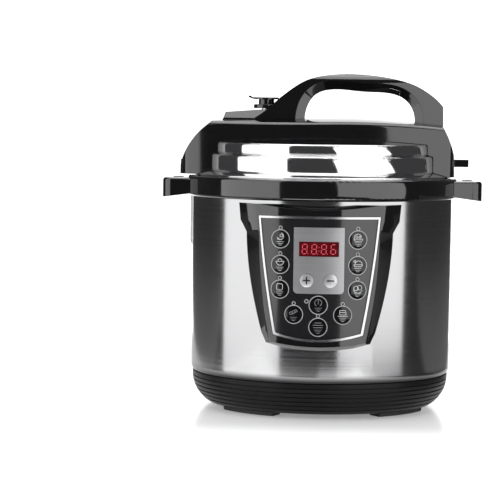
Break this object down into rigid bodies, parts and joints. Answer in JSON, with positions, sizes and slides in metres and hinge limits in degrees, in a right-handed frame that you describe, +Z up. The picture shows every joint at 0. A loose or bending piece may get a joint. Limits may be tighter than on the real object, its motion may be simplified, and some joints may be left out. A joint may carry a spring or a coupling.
{
  "type": "electric pressure cooker",
  "caption": "Round countertop pressure cooker: brushed steel body, black base, collar, side grips and bridged lid handle, tapered front control panel with round keys.",
  "frame": {"origin": "floor level under the middle of the cooker, on the cooker's round axis", "axes": "+Z up, -Y out of the control panel, +X towards the side handle on the right of the panel"},
  "size_m": [0.318, 0.278, 0.3328],
  "materials": {
    "black_satin": "satin black moulded plastic",
    "rubber": "matt black",
    "brushed": "fine brushed stainless steel",
    "black_gloss": "polished black moulded plastic",
    "screw_steel": "zinc plated",
    "aluminium": "plain",
    "cast_aluminium": "cast and turned",
    "tube_steel": "dark heated steel",
    "plain_steel": "plain",
    "spring_steel": "plain",
    "ceramic_white": "white, heat resistant",
    "board_green": "green solder mask",
    "component_black": "moulded cases",
    "film_white": "printed film",
    "dome_steel": "snap domes",
    "lamp": "clear lamp tips",
    "silver_trim": "satin plated",
    "overlay_graphite": "graphite, clear coated",
    "plaque_silver": "brushed sideways",
    "lens_red": "dark red window",
    "brass_pin": "plain",
    "cup_clear": "frosted clear",
    "pot_aluminium": "satin outside, dark non-stick inside",
    "silicone": "pale silicone",
    "lid_steel": "mirror polished stainless steel",
    "key_black": "domed, polished",
    "key_silver": "domed, satin plated"
  },
  "bodies": {
    "housing": {"base_cover": "black_satin", "feet": "rubber", "steel_housing": "brushed", "collar": "black_gloss", "side_handle_left": "black_gloss", "side_handle_right": "black_gloss", "handle_screws": "screw_steel", "liner": "aluminium", "heating_plate": "cast_aluminium", "heating_tube": "tube_steel", "spring_disc": "plain_steel", "plate_posts": "plain_steel", "sensor_holder": "ceramic_white", "sensor_spring": "spring_steel", "power_board": "board_green", "power_board_parts": "component_black", "board_posts": "black_satin", "pressure_switch": "component_black", "thermal_fuse": "ceramic_white", "control_board": "board_green", "display_module": "component_black", "key_film": "film_white", "key_domes": "dome_steel", "indicator_lamps": "lamp", "panel_bezel": "black_gloss", "panel_trim": "silver_trim", "panel_overlay": "overlay_graphite", "display_plaque": "plaque_silver", "display_lens": "lens_red", "mains_inlet": "black_satin", "inlet_pins": "brass_pin", "cup_hanger": "black_gloss", "base_screws": "screw_steel"},
    "pot": {"inner_pot": "pot_aluminium"},
    "seal": {"sealing_ring": "silicone"},
    "lid": {"lid_pan": "lid_steel", "lid_cover": "black_gloss", "lid_handle": "black_gloss", "grip_insert": "black_satin", "valve_pipe": "plain_steel", "pipe_nut": "plain_steel", "steam_shield": "plain_steel", "inner_lid_plate": "aluminium"},
    "valve": {"pressure_valve": "black_gloss"},
    "float": {"float_valve": "plain_steel", "float_seal": "silicone"},
    "sensor": {"sensor_cap": "aluminium"},
    "cup": {"condensate_cup": "cup_clear"},
    "key_left_1": {"key_left_1": "key_black"},
    "key_left_2": {"key_left_2": "key_black"},
    "key_left_3": {"key_left_3": "key_black"},
    "key_right_1": {"key_right_1": "key_black"},
    "key_right_2": {"key_right_2": "key_black"},
    "key_right_3": {"key_right_3": "key_black"},
    "key_lower_left": {"key_lower_left": "key_black"},
    "key_lower_right": {"key_lower_right": "key_black"},
    "key_stop": {"key_stop": "key_black"},
    "key_timer": {"key_timer": "key_black"},
    "key_plus": {"key_plus": "key_silver"},
    "key_minus": {"key_minus": "key_silver"}
  },
  "joints": [
    {"name": "pot_lift", "type": "slide", "parent": "housing", "child": "pot", "axis": [0, 0, 1], "range_m": [0, 0.19]},
    {"name": "lid_lift", "type": "slide", "parent": "pot", "child": "seal", "axis": [0, 0, 1], "range_m": [0, 0.17]},
    {"name": "lid_turn", "type": "hinge", "parent": "seal", "child": "lid", "pos_m": [0, 0, 0.23], "axis": [0, 0, 1], "range_deg": [-28, 0]},
    {"name": "valve_turn", "type": "hinge", "parent": "lid", "child": "valve", "pos_m": [-0.0573, 0, 0.3], "axis": [0, 0, 1], "range_deg": [-45, 45]},
    {"name": "float_rise", "type": "slide", "parent": "lid", "child": "float", "axis": [0, 0, 1], "range_m": [0, 0.008]},
    {"name": "sensor_press", "type": "slide", "parent": "housing", "child": "sensor", "axis": [0, 0, -1], "range_m": [0, 0.003], "stiffness_N_per_m": 500, "springref_m": -0.002, "deforming": ["sensor_spring"]},
    {"name": "cup_pull", "type": "slide", "parent": "housing", "child": "cup", "axis": [0, 0, -1], "range_m": [0, 0.045]},
    {"name": "press_left_1", "type": "slide", "parent": "housing", "child": "key_left_1", "axis": [0.2689, 0.9632, 0], "range_m": [0, 0.0006], "stiffness_N_per_m": 600},
    {"name": "press_left_2", "type": "slide", "parent": "housing", "child": "key_left_2", "axis": [0.2689, 0.9632, 0], "range_m": [0, 0.0006], "stiffness_N_per_m": 600},
    {"name": "press_left_3", "type": "slide", "parent": "housing", "child": "key_left_3", "axis": [0.2689, 0.9632, 0], "range_m": [0, 0.0006], "stiffness_N_per_m": 600},
    {"name": "press_right_1", "type": "slide", "parent": "housing", "child": "key_right_1", "axis": [-0.2689, 0.9632, 0], "range_m": [0, 0.0006], "stiffness_N_per_m": 600},
    {"name": "press_right_2", "type": "slide", "parent": "housing", "child": "key_right_2", "axis": [-0.2689, 0.9632, 0], "range_m": [0, 0.0006], "stiffness_N_per_m": 600},
    {"name": "press_right_3", "type": "slide", "parent": "housing", "child": "key_right_3", "axis": [-0.2689, 0.9632, 0], "range_m": [0, 0.0006], "stiffness_N_per_m": 600},
    {"name": "press_lower_left", "type": "slide", "parent": "housing", "child": "key_lower_left", "axis": [0.1702, 0.9854, 0], "range_m": [0, 0.0006], "stiffness_N_per_m": 600},
    {"name": "press_lower_right", "type": "slide", "parent": "housing", "child": "key_lower_right", "axis": [-0.1702, 0.9854, 0], "range_m": [0, 0.0006], "stiffness_N_per_m": 600},
    {"name": "press_stop", "type": "slide", "parent": "housing", "child": "key_stop", "axis": [0, 1, 0], "range_m": [0, 0.0006], "stiffness_N_per_m": 600},
    {"name": "press_timer", "type": "slide", "parent": "housing", "child": "key_timer", "axis": [0, 1, 0], "range_m": [0, 0.0006], "stiffness_N_per_m": 600},
    {"name": "press_plus", "type": "slide", "parent": "housing", "child": "key_plus", "axis": [0.0823, 0.9966, 0], "range_m": [0, 0.0006], "stiffness_N_per_m": 600},
    {"name": "press_minus", "type": "slide", "parent": "housing", "child": "key_minus", "axis": [-0.0823, 0.9966, 0], "range_m": [0, 0.0006], "stiffness_N_per_m": 600}
  ]
}
